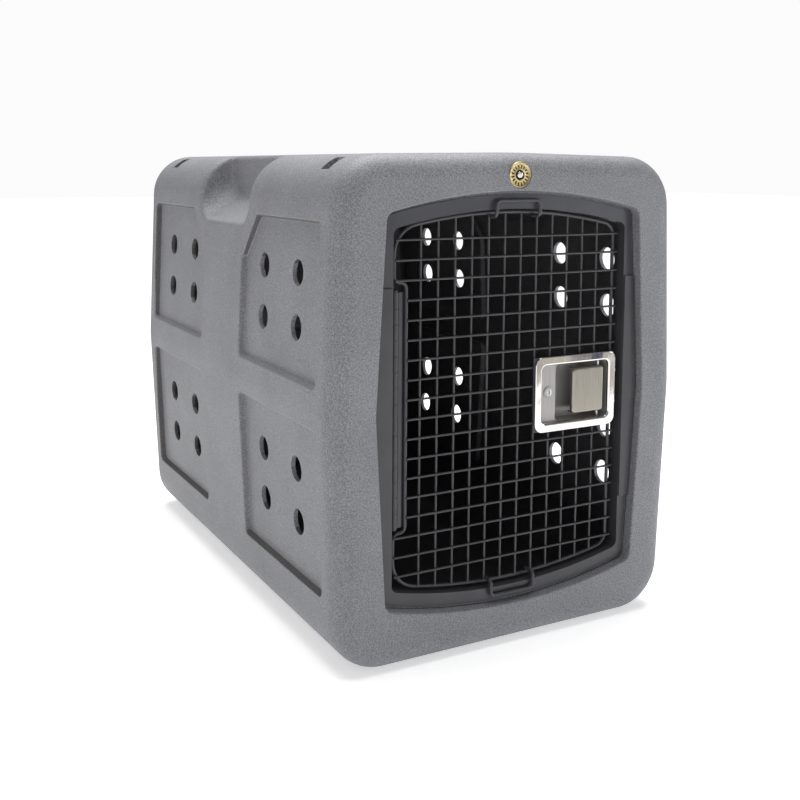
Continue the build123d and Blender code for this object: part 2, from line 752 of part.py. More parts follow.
def make_hinge_frame_leaf():
    """Leaf riveted inside the frame's return, with every other knuckle."""
    back = HINGE_Y + BARREL_RADIUS
    top = HINGE_BOTTOM + KNUCKLE_COUNT * KNUCKLE_PITCH - KNUCKLE_GAP
    with BuildPart() as leaf:
        add(slab((-INNER_HALF, FRAME_LEAF_X), (FRAME_LEAF_FRONT, back + 1), (HINGE_BOTTOM, top)))
        for span in knuckle_spans(0):
            add(slab((FRAME_LEAF_X - 0.5, HINGE_X), (back - LEAF_THICK, back), span))
            add(barrel(span, BARREL_RADIUS))
        add(barrel((HINGE_BOTTOM, top), PIN_RADIUS + PIN_CLEARANCE), mode=Mode.SUBTRACT)
        with BuildSketch(Plane.YZ):
            with Locations([(HINGE_RIVET_Y, z) for z in HINGE_RIVET_HEIGHTS]):
                Circle(RIVET_RADIUS)
        extrude(amount=-MID_WIDTH / 2, mode=Mode.SUBTRACT)
    return leaf.part


def make_hinge_door_leaf():
    """Leaf welded behind the door rod, with the knuckles between the frame's."""
    back = HINGE_Y + BARREL_RADIUS
    top = HINGE_BOTTOM + KNUCKLE_COUNT * KNUCKLE_PITCH - KNUCKLE_GAP
    near = HINGE_X + BARREL_RADIUS + LEAF_CLEARANCE
    with BuildPart() as leaf:
        add(slab((near, ROD_JOG + 4), (back - LEAF_THICK, back), (HINGE_BOTTOM, top)))
        add(slab((near, near + LEAF_RIB), (HINGE_Y - 0.9, back - LEAF_THICK), (HINGE_BOTTOM, top)))
        for span in knuckle_spans(1):
            add(slab((HINGE_X, near), (back - LEAF_THICK, back), span))
            add(barrel(span, BARREL_RADIUS))
            add(barrel(span, PIN_RADIUS + PIN_CLEARANCE), mode=Mode.SUBTRACT)
    return leaf.part


def make_hinge_pin():
    """Pin through all the knuckles, headed at both ends."""
    top = HINGE_BOTTOM + KNUCKLE_COUNT * KNUCKLE_PITCH - KNUCKLE_GAP
    with BuildPart() as hinge_pin:
        add(barrel((HINGE_BOTTOM - 2.5, top + 2.5), PIN_RADIUS))
        add(barrel((HINGE_BOTTOM - 2.5, HINGE_BOTTOM - 0.5), PIN_RADIUS + 1.6))
        add(barrel((top + 0.5, top + 2.5), PIN_RADIUS + 1.6))
    return hinge_pin.part


# ---------------------------------------------------------------- latch


def rounded_panel(y, x_span, z_span, radius, depth):
    """Rounded rectangular block that stands forwards from y by its depth."""
    with BuildPart() as block:
        with BuildSketch(front_plane(y)):
            with Locations(((x_span[0] + x_span[1]) / 2, (z_span[0] + z_span[1]) / 2)):
                RectangleRounded(x_span[1] - x_span[0], z_span[1] - z_span[0], radius)
        extrude(amount=depth)
    return block.part


def rods(places, radius, y_front, y_back):
    """Round lengths along y at places given as x and z."""
    with BuildPart() as lengths:
        with BuildSketch(front_plane(y_back)):
            with Locations(places):
                Circle(radius)
        extrude(amount=y_back - y_front)
    return lengths.part


def pocket_spans(gap):
    """Width and height limits of a hole that clears the pan's pocket by a gap."""
    reach = PAN_SHEET + gap
    return (POCKET_LEFT - reach, POCKET_RIGHT + reach), (POCKET_BOTTOM - reach, POCKET_TOP + reach)


def make_latch_mount_plate():
    """Steel plate welded to the mesh round the latch's cut-out."""
    back = MOUNT_FRONT_Y + MOUNT_THICK
    wide = (PAN_LEFT - 2, PAN_RIGHT - 1.5)
    tall = (PAN_BOTTOM + 1, PAN_TOP - 1)
    with BuildPart() as plate:
        add(rounded_panel(back, wide, tall, 1.5, MOUNT_THICK))
        add(rounded_panel(back, *pocket_spans(1), POCKET_ROUND, MOUNT_THICK), mode=Mode.SUBTRACT)
        add(rods(LATCH_STUDS, LATCH_STUD_RADIUS + 0.2, MOUNT_FRONT_Y, back), mode=Mode.SUBTRACT)
    return plate.part


def make_latch_gasket():
    """Rubber gasket between the mount plate and the pan's flange."""
    wide = (PAN_LEFT + 1.5, PAN_RIGHT - 2)
    tall = (PAN_BOTTOM + 1.5, PAN_TOP - 1.5)
    with BuildPart() as gasket:
        add(rounded_panel(MOUNT_FRONT_Y, wide, tall, PAN_ROUND, GASKET_THICK))
        add(rounded_panel(MOUNT_FRONT_Y, *pocket_spans(0.4), POCKET_ROUND, GASKET_THICK), mode=Mode.SUBTRACT)
        add(rods(LATCH_STUDS, LATCH_STUD_RADIUS + 0.1, FLANGE_BACK_Y, MOUNT_FRONT_Y), mode=Mode.SUBTRACT)
    return gasket.part


def inside_flange(edge):
    """Whether an edge of the pan lies round its pocket and not round its outer edge."""
    middle = edge.position_at(0.5)
    beside = POCKET_LEFT - 2 < middle.X < POCKET_RIGHT + 2
    return beside and POCKET_BOTTOM - 2 < middle.Z < POCKET_TOP + 2


def make_latch_pan():
    """Pressed pan with a flange, a raised lock step and a deep finger pocket."""
    wide = (POCKET_LEFT - PAN_SHEET, POCKET_RIGHT + PAN_SHEET)
    deep = (LOCK_STEP_X - PAN_SHEET, POCKET_RIGHT + PAN_SHEET)
    tall = (POCKET_BOTTOM - PAN_SHEET, POCKET_TOP + PAN_SHEET)
    step_back = LOCK_STEP_Y + PAN_SHEET
    with BuildPart() as latch_pan:
        add(rounded_panel(FLANGE_BACK_Y, (PAN_LEFT, PAN_RIGHT), (PAN_BOTTOM, PAN_TOP), PAN_ROUND, PAN_SHEET))
        fillet(latch_pan.faces().sort_by(Axis.Y)[0].edges(), PAN_SHEET * 0.8)
        add(rounded_panel(step_back, wide, tall, POCKET_ROUND, step_back - FLANGE_BACK_Y))
        add(rounded_panel(HOUSING_FRONT_Y, deep, tall, POCKET_ROUND, HOUSING_FRONT_Y - FLANGE_BACK_Y))
        for left, floor, depth in (
            (POCKET_LEFT, LOCK_STEP_Y, LOCK_STEP_DEPTH), (LOCK_STEP_X, POCKET_FLOOR_Y, POCKET_DEPTH),
        ):
            inside = rounded_panel(
                floor, (left, POCKET_RIGHT), (POCKET_BOTTOM, POCKET_TOP), POCKET_ROUND - PAN_SHEET, depth + 2
            )
            add(inside, mode=Mode.SUBTRACT)
        brim = latch_pan.edges().filter_by_position(Axis.Y, FLANGE_FRONT_Y - 0.01, FLANGE_FRONT_Y + 0.01)
        fillet([edge for edge in brim if inside_flange(edge)], PAN_BRIM)
        add(rods([(LOCK_X, LOCK_Z)], LOCK_BARREL_RADIUS + 0.05, LOCK_STEP_Y, step_back), mode=Mode.SUBTRACT)
        add(rods(RIVET_PLACES, RIVET_RADIUS, POCKET_FLOOR_Y, HOUSING_FRONT_Y), mode=Mode.SUBTRACT)
        add(rounded_panel(
            HOUSING_FRONT_Y, FINGER_SLOT, (LATCH_Z - FINGER_HALF - 1, LATCH_Z + FINGER_HALF + 1), 2,
            PAN_SHEET,
        ), mode=Mode.SUBTRACT)
        with BuildSketch(Plane.XY.offset(tall[0])):
            with Locations((PADDLE_PIN_X, PADDLE_PIN_Y)):
                Circle(PADDLE_PIN_RADIUS)
        extrude(amount=tall[1] - tall[0], mode=Mode.SUBTRACT)
    return latch_pan.part


def make_latch_housing():
    """Hat-shaped channel behind the pan that guides the bolt."""
    inner = BOLT_HALF + 0.5
    back = HOUSING_FRONT_Y + BOLT_DEPTH + 2.0
    foot = (HOUSING_FRONT_Y, HOUSING_FRONT_Y + HOUSING_SHEET)
    with BuildPart() as housing:
        add(slab((RIVET_X - 8, POCKET_RIGHT), foot, (LATCH_Z - HOUSING_HALF, LATCH_Z + HOUSING_HALF)))
        add(slab(
            (HOUSING_LEFT, HOUSING_RIGHT), (HOUSING_FRONT_Y, back + HOUSING_SHEET),
            (LATCH_Z - inner - HOUSING_SHEET, LATCH_Z + inner + HOUSING_SHEET),
        ))
        with BuildSketch(Plane.YZ.offset(HOUSING_LEFT + HOUSING_SHEET)):
            with Locations(((HOUSING_FRONT_Y + back) / 2, LATCH_Z)):
                Rectangle(back - HOUSING_FRONT_Y, 2 * inner)
        extrude(amount=HOUSING_RIGHT - HOUSING_LEFT, mode=Mode.SUBTRACT)
        add(rods(RIVET_PLACES, RIVET_RADIUS, *foot), mode=Mode.SUBTRACT)
    return housing.part


def make_latch_bolt():
    """Spring bolt with a bevelled tip and a notch for the paddle's finger."""
    front = HOUSING_FRONT_Y + 1.5
    back = front + BOLT_DEPTH
    with BuildPart() as bolt:
        with BuildSketch(Plane.XY.offset(LATCH_Z - BOLT_HALF)):
            with BuildLine():
                Polyline(
                    (BOLT_LEFT, front), (BOLT_TIP, front), (BOLT_TIP, front + 2.5),
                    (BOLT_TIP - 9.5, back), (BOLT_LEFT, back), close=True,
                )
            make_face()
        extrude(amount=2 * BOLT_HALF)
        add(rounded_panel(
            front + 7.5, (PADDLE_PIN_X - 3.8, PADDLE_PIN_X + 3.8),
            (LATCH_Z - FINGER_HALF - 1, LATCH_Z + FINGER_HALF + 1), 0.8, 8,
        ), mode=Mode.SUBTRACT)
    return bolt.part


def make_paddle():
    """Pressed pull plate with side walls, pin bosses and the finger that draws the bolt."""
    back = PADDLE_FRONT_Y + PADDLE_DEPTH
    x_span = (PADDLE_LEFT, PADDLE_RIGHT)
    z_span = (LATCH_Z - PADDLE_HALF, LATCH_Z + PADDLE_HALF)
    sheet = PADDLE_SHEET
    with BuildPart() as paddle:
        add(rounded_panel(back, x_span, z_span, 5, PADDLE_DEPTH))
        fillet(paddle.faces().sort_by(Axis.Y)[0].edges(), 3.5)
        add(rounded_panel(
            back, (x_span[0] + sheet, x_span[1] - sheet), (z_span[0] + sheet, z_span[1] - sheet), 3,
            PADDLE_DEPTH - sheet,
        ), mode=Mode.SUBTRACT)
        add(slab((x_span[0] - 1, x_span[0] + sheet + 0.5), (PADDLE_FRONT_Y + PADDLE_CURL, back + 1), z_span),
            mode=Mode.SUBTRACT)
        for low, high in ((z_span[0] + 1, z_span[0] + 8), (LATCH_Z - FINGER_HALF, LATCH_Z + FINGER_HALF),
                          (z_span[1] - 8, z_span[1] - 1)):
            with BuildSketch(Plane.XY.offset(low)):
                with Locations((PADDLE_PIN_X, PADDLE_PIN_Y)):
                    Circle(PADDLE_PIN_RADIUS + 2.4)
            extrude(amount=high - low)
        add(slab(
            (PADDLE_PIN_X - 1.8, PADDLE_PIN_X + 1.8), (PADDLE_FRONT_Y + 1, FINGER_END_Y),
            (LATCH_Z - FINGER_HALF, LATCH_Z + FINGER_HALF),
        ))
        with BuildSketch(Plane.XY.offset(z_span[0])):
            with Locations((PADDLE_PIN_X, PADDLE_PIN_Y)):
                Circle(PADDLE_PIN_RADIUS + PIN_CLEARANCE)
        extrude(amount=z_span[1] - z_span[0], mode=Mode.SUBTRACT)
    return paddle.part


def make_paddle_pin():
    """Pin across the pan that the paddle turns on."""
    low = POCKET_BOTTOM - PAN_SHEET
    high = POCKET_TOP + PAN_SHEET
    with BuildPart() as pin:
        for z_span, radius in (
            ((low - 2, high + 1), PADDLE_PIN_RADIUS), ((low - 2, low), PADDLE_PIN_RADIUS + 1.2),
        ):
            with BuildSketch(Plane.XY.offset(z_span[0])):
                with Locations((PADDLE_PIN_X, PADDLE_PIN_Y)):
                    Circle(radius)
            extrude(amount=z_span[1] - z_span[0])
    return pin.part


def make_paddle_spring():
    """Torsion spring round the paddle's pin."""
    start = LATCH_Z + FINGER_HALF + 2
    with BuildPart() as spring:
        with BuildLine(Plane(origin=(PADDLE_PIN_X, PADDLE_PIN_Y, start))) as coil:
            Helix(pitch=SPRING_WIRE * 2.2, height=SPRING_LENGTH, radius=SPRING_COIL_RADIUS)
        with BuildSketch(Plane(origin=coil.line @ 0, z_dir=coil.line % 0)):
            Circle(SPRING_WIRE / 2)
        sweep(is_frenet=True)
    return spring.part


def make_lock_barrel():
    """Round barrel of the cylinder lock with its bright collar."""
    centre = [(LOCK_X, LOCK_Z)]
    bore = LOCK_PLUG_RADIUS + PIN_CLEARANCE
    with BuildPart() as lock_barrel:
        add(rods(centre, LOCK_COLLAR_RADIUS, LOCK_STEP_Y - LOCK_COLLAR_DEPTH, LOCK_STEP_Y))
        fillet(lock_barrel.faces().sort_by(Axis.Y)[0].edges(), LOCK_COLLAR_DEPTH / 2)
        add(rods(centre, LOCK_BARREL_RADIUS, LOCK_STEP_Y, LOCK_BARREL_BACK))
        add(rods(centre, bore, LOCK_STEP_Y - LOCK_COLLAR_DEPTH, LOCK_BARREL_BACK), mode=Mode.SUBTRACT)
    return lock_barrel.part


def make_lock_plug():
    """Plug that turns in the barrel, with a key slot in its face."""
    with BuildPart() as lock_plug:
        with BuildSketch(front_plane(LOCK_CAM_Y)):
            with Locations((LOCK_X, LOCK_Z)):
                Circle(LOCK_PLUG_RADIUS)
        extrude(amount=LOCK_CAM_Y - LOCK_STEP_Y + 1.8)
        with BuildSketch(front_plane(LOCK_STEP_Y + 7)):
            with Locations((LOCK_X, LOCK_Z)):
                Rectangle(1.6, 6.4)
        extrude(amount=10, mode=Mode.SUBTRACT)
        add(rods([(LOCK_X, LOCK_Z)], CAM_SCREW_RADIUS, LOCK_CAM_Y - 6, LOCK_CAM_Y), mode=Mode.SUBTRACT)
    return lock_plug.part


def make_lock_cam():
    """Cam on the end of the plug."""
    with BuildPart() as lock_cam:
        with BuildSketch(front_plane(LOCK_CAM_Y + 2)):
            with Locations((LOCK_X, LOCK_Z + 4.5)):
                SlotCenterToCenter(9, 9, rotation=90)
            with Locations((LOCK_X, LOCK_Z)):
                Circle(CAM_SCREW_RADIUS, mode=Mode.SUBTRACT)
        extrude(amount=2)
    return lock_cam.part


def make_cam_screw():
    """Screw that holds the cam on the plug."""
    with BuildPart() as cam_screw:
        for y, radius, depth in ((LOCK_CAM_Y + 4.5, 3.4, 2.5), (LOCK_CAM_Y + 2, CAM_SCREW_RADIUS, 7)):
            with BuildSketch(front_plane(y)):
                with Locations((LOCK_X, LOCK_Z)):
                    Circle(radius)
            extrude(amount=depth)
        with BuildSketch(front_plane(LOCK_CAM_Y + 4.5)):
            with Locations((LOCK_X, LOCK_Z)):
                Rectangle(5.0, 0.9)
        extrude(amount=1.2, mode=Mode.SUBTRACT)
    return cam_screw.part


# ---------------------------------------------------------------- strike, medallion and drain


def make_strike_plate():
    """Plate riveted outside the frame's return, with a window for the bolt."""
    near = INNER_HALF + RETURN_THICK
    with BuildPart() as strike_plate:
        add(slab((near, near + 2), STRIKE_SPAN, (LATCH_Z - STRIKE_HALF, LATCH_Z + STRIKE_HALF)))
        with BuildSketch(Plane.YZ.offset(near)):
            with Locations((HOUSING_FRONT_Y + 1.5 + BOLT_DEPTH / 2, LATCH_Z)):
                Rectangle(BOLT_DEPTH + 3, 2 * BOLT_HALF + 4)
            with Locations([(STRIKE_RIVET_Y, LATCH_Z + side * STRIKE_RIVET_SPREAD) for side in (-1, 1)]):
                Circle(RIVET_RADIUS)
        extrude(amount=2, mode=Mode.SUBTRACT)
    return strike_plate.part


def make_medallion():
    """Round brass badge with a raised rim and inner ring, seated in the front wall."""
    seat = FACE_Y + MEDALLION_THICK
    with BuildPart() as medallion:
        with BuildSketch(front_plane(seat)):
            with Locations((MEDALLION_X, MEDALLION_Z)):
                Circle(MEDALLION_RADIUS)
        extrude(amount=1.6)
        with BuildSketch(front_plane(seat - 1.6)):
            with Locations((MEDALLION_X, MEDALLION_Z)):
                Circle(MEDALLION_RADIUS)
                Circle(MEDALLION_RADIUS - 1.8, mode=Mode.SUBTRACT)
                Circle(BUTTON_RADIUS + 3.4)
                Circle(BUTTON_RADIUS + 2.4, mode=Mode.SUBTRACT)
        extrude(amount=0.9)
        add(rods([(MEDALLION_X, MEDALLION_Z)], BUTTON_SHANK, FACE_Y - 1, seat), mode=Mode.SUBTRACT)
    return medallion.part


def make_medallion_rivet():
    """Bright rivet that holds the badge to the shell."""
    seat = FACE_Y + MEDALLION_THICK
    with BuildPart() as rivet:
        for y, radius, depth in (
            (seat - 1.6, BUTTON_RADIUS, 1.4),
            (seat + WALL, BUTTON_SHANK, WALL + 1.6),
            (seat + WALL + 1.5, BUTTON_RADIUS, 1.5),
        ):
            with BuildSketch(front_plane(y)):
                with Locations((MEDALLION_X, MEDALLION_Z)):
                    Circle(radius)
            extrude(amount=depth)
        fillet(rivet.faces().sort_by(Axis.Y)[0].edges(), 1.2)
    return rivet.part


def turned(profile_radius_by_y):
    """Solid of stacked round lengths on the drain's axis, each given as (y from, y to, radius, bore)."""
    with BuildPart() as body:
        for y_from, y_to, radius, bore in profile_radius_by_y:
            with BuildSketch(Plane(origin=(0, y_from, DRAIN_Z), x_dir=(1, 0, 0), z_dir=(0, 1, 0))):
                Circle(radius)
                if bore:
                    Circle(bore, mode=Mode.SUBTRACT)
            extrude(amount=y_to - y_from)
    return body.part


def make_drain_plug():
    """Push-in plug with a grip bar, seated in the rear wall's round pocket."""
    shank = DRAIN_BORE - 0.06
    with BuildPart() as drain_plug:
        add(turned([
            (DRAIN_SEAT_Y + 2, DRAIN_SEAT_Y + 5, 17.0, 0),
            (DRAIN_SEAT_Y - 2.2, DRAIN_SEAT_Y + 2, shank, 0),
            (DRAIN_SEAT_Y - 4.6, DRAIN_SEAT_Y - 2.2, shank - 1.8, 0),
            (DRAIN_SEAT_Y - 7.0, DRAIN_SEAT_Y - 4.6, shank, 0),
        ]))
        add(slab((-11, 11), (DRAIN_SEAT_Y + 5, DRAIN_SEAT_Y + 8.8), (DRAIN_Z - 2.5, DRAIN_Z + 2.5)))
    return drain_plug.part


def make_drain_seal():
    """O-ring in the drain plug's groove."""
    section = 0.8
    with BuildPart() as drain_seal:
        with BuildSketch(Plane.YZ):
            with Locations((DRAIN_SEAT_Y - 3.4, DRAIN_Z + DRAIN_BORE - 0.2 - section)):
                Circle(section)
        revolve(axis=Axis((0, 0, DRAIN_Z), (0, 1, 0)))
    return drain_seal.part


def make_all():
    """Write every piece of the kennel to its own file."""
    stud_plane = front_plane(RECESS_FLOOR_Y + STUD_LENGTH)
    wall_back = RECESS_FLOOR_Y + WALL
    return_outside = Plane(origin=(FRAME_LEAF_X, 0, 0), x_dir=(0, 1, 0), z_dir=(1, 0, 0))
    strike_inside = Plane(origin=(INNER_HALF, 0, 0), x_dir=(0, -1, 0), z_dir=(-1, 0, 0))
    strike_places = [(-STRIKE_RIVET_Y, LATCH_Z + side * STRIKE_RIVET_SPREAD) for side in (-1, 1)]
    pieces = {
        "kennel_body": make_kennel_body(),
        "door_frame": make_door_frame(),
        "hinge_stile_plate": make_stile_plate(-1),
        "strike_stile_plate": make_stile_plate(1),
        "frame_studs": disc_row(stud_plane, STUD_RADIUS, STUD_PLACES, STUD_LENGTH),
        "frame_washers": ring_row(front_plane(wall_back + 1.2), 6.4, STUD_RADIUS, STUD_PLACES, 1.2),
        "frame_nuts": ring_row(front_plane(wall_back + 6.2), 5.77, STUD_RADIUS, STUD_PLACES, 5, 6),
        "strike_plate": make_strike_plate(),
        "strike_rivets": rivet_row(strike_inside, RIVET_RADIUS, RETURN_THICK + 2, 3.2, 1.2, strike_places),
        "hinge_frame_leaf": make_hinge_frame_leaf(),
        "hinge_rivets": rivet_row(
            return_outside, RIVET_RADIUS, RETURN_THICK + INNER_HALF + FRAME_LEAF_X, 3.2, 1.2,
            [(HINGE_RIVET_Y, z) for z in HINGE_RIVET_HEIGHTS],
        ),
        "hinge_pin": make_hinge_pin(),
        "medallion": make_medallion(),
        "medallion_rivet": make_medallion_rivet(),
        "drain_bushing": turned([
            (DRAIN_SEAT_Y, DRAIN_SEAT_Y + 2, 22.0, DRAIN_BORE),
            (DRAIN_SEAT_Y - WALL - 1, DRAIN_SEAT_Y, DRAIN_HOLE_RADIUS - 0.1, DRAIN_BORE),
        ]),
        "drain_plug": make_drain_plug(),
        "drain_seal": make_drain_seal(),
        "door_rod": make_door_rod(),
        "mesh_rows": make_mesh_rows(),
        "mesh_columns": make_mesh_columns(),
        "top_stop_loop": make_stop_loop(STOP_TOP_LEG_Z, STOP_TOP_BAR_Z),
        "bottom_stop_loop": make_stop_loop(STOP_BOTTOM_LEG_Z, STOP_BOTTOM_BAR_Z),
        "hinge_door_leaf": make_hinge_door_leaf(),
        "latch_mount_plate": make_latch_mount_plate(),
        "latch_gasket": make_latch_gasket(),
        "latch_pan": make_latch_pan(),
        "latch_studs": disc_row(front_plane(FLANGE_BACK_Y + 9.5), LATCH_STUD_RADIUS, LATCH_STUDS, 9.5),
        "latch_nuts": ring_row(
            front_plane(MOUNT_FRONT_Y + MOUNT_THICK + 3.2), 4.04, LATCH_STUD_RADIUS, LATCH_STUDS, 3.2, 6
        ),
        "latch_housing": make_latch_housing(),
        "housing_rivets": rivet_row(
            front_plane(POCKET_FLOOR_Y), RIVET_RADIUS, PAN_SHEET + HOUSING_SHEET, 3.2, 1.4, RIVET_PLACES
        ),
        "latch_bolt": make_latch_bolt(),
        "paddle": make_paddle(),
        "paddle_pin": make_paddle_pin(),
        "paddle_spring": make_paddle_spring(),
        "lock_barrel": make_lock_barrel(),
        "lock_nut": ring_row(
            front_plane(LOCK_STEP_Y + PAN_SHEET + 3.5), LOCK_NUT_RADIUS, LOCK_BARREL_RADIUS, [(LOCK_X, LOCK_Z)], 3.5, 6
        ),
        "lock_plug": make_lock_plug(),
        "lock_cam": make_lock_cam(),
        "cam_screw": make_cam_screw(),
    }
    for name, part in pieces.items():
        save(name, part)


os.makedirs("parts", exist_ok=True)
make_all()
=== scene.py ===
import math

import bpy
from mathutils import Euler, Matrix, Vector
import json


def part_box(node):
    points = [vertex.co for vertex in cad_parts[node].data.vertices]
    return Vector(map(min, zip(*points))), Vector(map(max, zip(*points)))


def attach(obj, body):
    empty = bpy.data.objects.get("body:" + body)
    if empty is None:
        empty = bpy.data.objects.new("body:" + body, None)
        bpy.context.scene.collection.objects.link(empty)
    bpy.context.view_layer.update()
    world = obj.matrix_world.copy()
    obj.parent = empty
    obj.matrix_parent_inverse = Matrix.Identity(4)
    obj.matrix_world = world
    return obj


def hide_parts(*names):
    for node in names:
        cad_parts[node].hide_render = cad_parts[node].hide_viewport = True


# Looks of the pet transport carrier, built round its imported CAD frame.
# Metres, +Z up, -Y is the door end.

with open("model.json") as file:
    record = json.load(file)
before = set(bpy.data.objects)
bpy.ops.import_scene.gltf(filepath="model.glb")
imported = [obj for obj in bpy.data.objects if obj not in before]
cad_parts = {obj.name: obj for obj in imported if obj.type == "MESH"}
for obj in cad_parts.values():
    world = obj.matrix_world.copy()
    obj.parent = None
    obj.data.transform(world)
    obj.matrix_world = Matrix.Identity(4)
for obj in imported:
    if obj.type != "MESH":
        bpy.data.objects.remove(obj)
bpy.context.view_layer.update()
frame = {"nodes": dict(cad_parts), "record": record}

# Camera
CAMERA_PLACE = Vector((-0.7894, -1.5239, 0.6349))
CAMERA_YAW = math.radians(28.625)
CAMERA_PITCH = math.radians(6.09)
CAMERA_ROLL = math.radians(0.361)
CAMERA_LENS = 47.30
CAMERA_SHIFT_Y = -0.15
CAMERA_CLIP = (0.05, 100.0)
SENSOR = 36.0

# Cabin faces, told from outer ones: how squarely they face inwards and how deep they lie on each axis
CABIN_FACING = 0.35
CABIN_SKIN = (0.005, 0.014, 0.005)
# Painted shade: colour multiplied onto the cabin's inner faces so that the inside looks darker, as if little
# light reached it
CABIN_PAINTED_SHADE = (0.45, 0.42, 0.40, 1.0)

# Badge: its outline as (radius, depth from the front), where its marks run, and how deep they are
BADGE_OUTLINE = (
    (0.0017, 0.0025), (0.0017, 0.0019), (0.0059, 0.0019), (0.0066, 0.0009), (0.0070, 0.0004),
    (0.0074, 0.0003), (0.0080, 0.0005), (0.0088, 0.0006), (0.0092, 0.0006), (0.0128, 0.0006),
    (0.0132, 0.0006), (0.0144, 0.0006), (0.0150, 0.0002), (0.0156, 0.0), (0.0163, 0.0001),
    (0.0168, 0.0005), (0.0170, 0.0010), (0.0170, 0.0025),
)
BADGE_FIELD = 0.0007
BADGE_GROOVE = 0.0012
BADGE_GROOVE_FROM = 0.0090
BADGE_GROOVE_TO = 0.0130
BADGE_MARKS = 16
BADGE_STEPS = 12
BADGE_MARK_STEPS = range(4, 9)
BADGE_TARNISH = (0.055, 0.036, 0.012, 1.0)

# Depth behind the latch flange at which its steel is brushed instead of polished, and what that takes
# off its metallic value
POLISHED_DEPTH = 0.0045
BRUSHED_LOSS = 0.6

# Floor and surroundings
FLOOR_SIZE = 40.0
FLOOR_DROP = 0.0002
FLOOR_COLOUR = (0.93, 0.93, 0.93, 1.0)
FLOOR_GLOW = (0.45, 0.9)
FLOOR_GLOW_SPAN = (1.0, 5.0)
STUDIO_LIGHT = 0.27
BACKDROP_LIGHT = 0.97
PATCH_SCALE = 4.0
PATCH_STOPS = ((0.42, (0.24, 0.25, 0.29, 1.0)), (0.58, (0.95, 0.93, 0.89, 1.0)))

# Card mirrored by the latch
CARD_PLACE = (0.88, -1.40, 0.22)
CARD_SIZE = (0.52, 0.34)
CARD_BLOTCH_SCALE = 9.0
CARD_STOPS = ((0.42, (0.075, 0.085, 0.15)), (0.50, (0.30, 0.29, 0.29)), (0.56, (0.62, 0.58, 0.52)))

# Lights: name, place, what they point at, size, power and colour
WHITE = (1.0, 1.0, 1.0)
LIGHTS = (
    ("key", (-2.4, -0.6, 2.6), (0.0, 0.0, 0.3), (1.8, 1.8), 8.0, WHITE),
    ("top", (0.2, 0.3, 2.8), (0.0, 0.0, 0.5), (2.4, 2.4), 122.0, WHITE),
    ("front", (2.6, -2.2, 0.8), (0.0, -0.3, 0.35), (0.8, 0.9), 18.0, (0.90, 0.93, 1.0)),
)


# ---------------------------------------------------------------- shader helpers


class Shader:
    """Builds one node material, with short calls for the nodes that the materials share."""

    def __init__(self, name):
        self.material = bpy.data.materials.new(name)
        self.material.use_nodes = True
        self.tree = self.material.node_tree
        self.surface = self.tree.nodes["Principled BSDF"]
        self.place = self.tree.nodes.new("ShaderNodeTexCoord").outputs["Object"]

    def node(self, kind, settings=None, **inputs):
        """A node of that kind, with its settings, and its inputs set to values or linked to sockets."""
        made = self.tree.nodes.new("ShaderNode" + kind)
        for key, value in (settings or {}).items():
            setattr(made, key, value)
        for key, value in inputs.items():
            self.join(value, made.inputs[key])
        return made

    def join(self, value, socket):
        """Sets a socket to a value, or links another socket to it."""
        if isinstance(value, bpy.types.NodeSocket):
            self.tree.links.new(value, socket)
        else:
            socket.default_value = value

    def noise(self, scale, detail=4.0, roughness=0.6, place=None):
        """Noise value at that scale, in features per metre."""
        inputs = {"Vector": place or self.place, "Scale": scale, "Detail": detail, "Roughness": roughness}
        return self.node("TexNoise", **inputs).outputs["Fac"]

    def stretched(self, scale):
        """The place scaled by three factors, for grain that runs one way."""
        return self.node("Mapping", Vector=self.place, Scale=scale).outputs["Vector"]

    def ramp(self, value, *stops):
        """Colour ramp of (position, colour) stops."""
        made = self.node("ValToRGB", Fac=value)
        elements = made.color_ramp.elements
        while len(elements) < len(stops):
            elements.new(0.5)
        for element, (position, colour) in zip(elements, stops):
            element.position = position
            element.color = colour if len(colour) == 4 else (*colour, 1.0)
        return made.outputs["Color"]

    def grey_ramp(self, value, *stops):
        """Ramp of (position, level) stops."""
        return self.ramp(value, *[(position, (level, level, level)) for position, level in stops])

    def blend(self, factor, first, second, mode="MIX"):
        """Two colours mixed by a factor."""
        made = self.node("Mix", {"data_type": "RGBA", "blend_type": mode})
        self.join(factor, made.inputs[0])
        self.join(first, made.inputs[6])
        self.join(second, made.inputs[7])
        return made.outputs[2]

    def maths(self, operation, first, second=0.0):
        """Result of a maths operation on two values."""
        made = self.node("Math", {"operation": operation})
        self.join(first, made.inputs[0])
        self.join(second, made.inputs[1])
        return made.outputs[0]

    def bump(self, height, strength, distance, normal=None):
        """Normal bumped by a height value."""
        made = self.node("Bump", Height=height, Strength=strength, Distance=distance)
        if normal is not None:
            self.join(normal, made.inputs["Normal"])
        return made.outputs["Normal"]

    def spread(self, value, start, end, low=0.0, high=1.0):
        """Value that runs from low to high while the given one runs from start to end."""
        made = self.node("MapRange", Value=value)
        for key, limit in (("From Min", start), ("From Max", end), ("To Min", low), ("To Max", high)):
            made.inputs[key].default_value = limit
        return made.outputs["Result"]

    def finish(self, **inputs):
        """Set the surface's own sockets and give back the material."""
        for key, value in inputs.items():
            self.join(value, self.surface.inputs[key.replace("_", " ")])
        return self.material


# ---------------------------------------------------------------- materials


